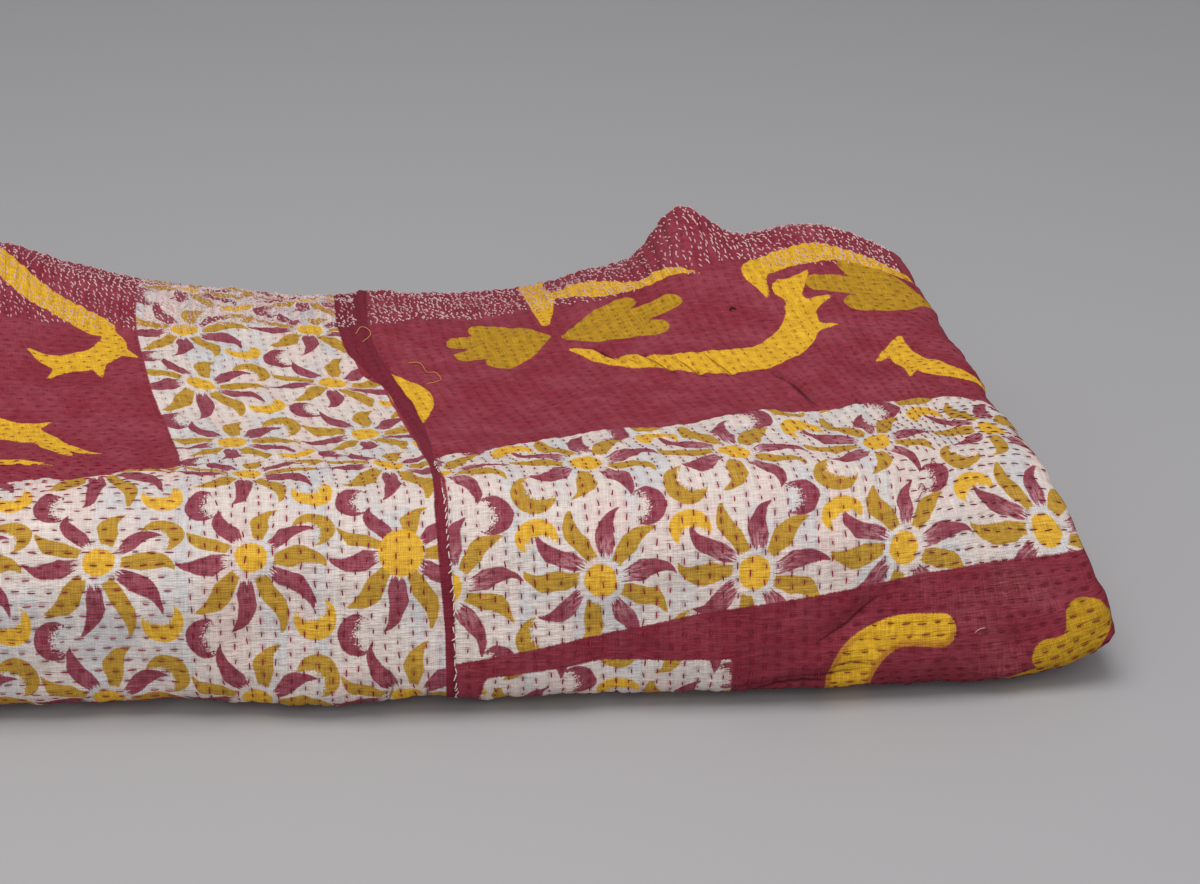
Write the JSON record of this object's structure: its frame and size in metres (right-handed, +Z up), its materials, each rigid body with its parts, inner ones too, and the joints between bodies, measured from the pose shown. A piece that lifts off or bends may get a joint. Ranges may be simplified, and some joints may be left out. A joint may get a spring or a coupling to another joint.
{
  "type": "folded kantha quilt",
  "caption": "Hand-stitched patchwork cotton quilt, doubled and folded into a low pile that rests flat, with a round front fold and an uneven top.",
  "frame": {"origin": "on the surface the pile rests on, under the middle of its bounding box", "axes": "+X along the round front fold, towards the end where the doubled cloth is folded; +Y from the front fold to the open back; +Z up"},
  "size_m": [0.6713, 0.3243, 0.1095],
  "materials": {
    "cloth": "soft worn cotton, maroon with white, yellow and mustard prints"
  },
  "bodies": {
    "root": {"quilt": "cloth"}
  },
  "joints": []
}
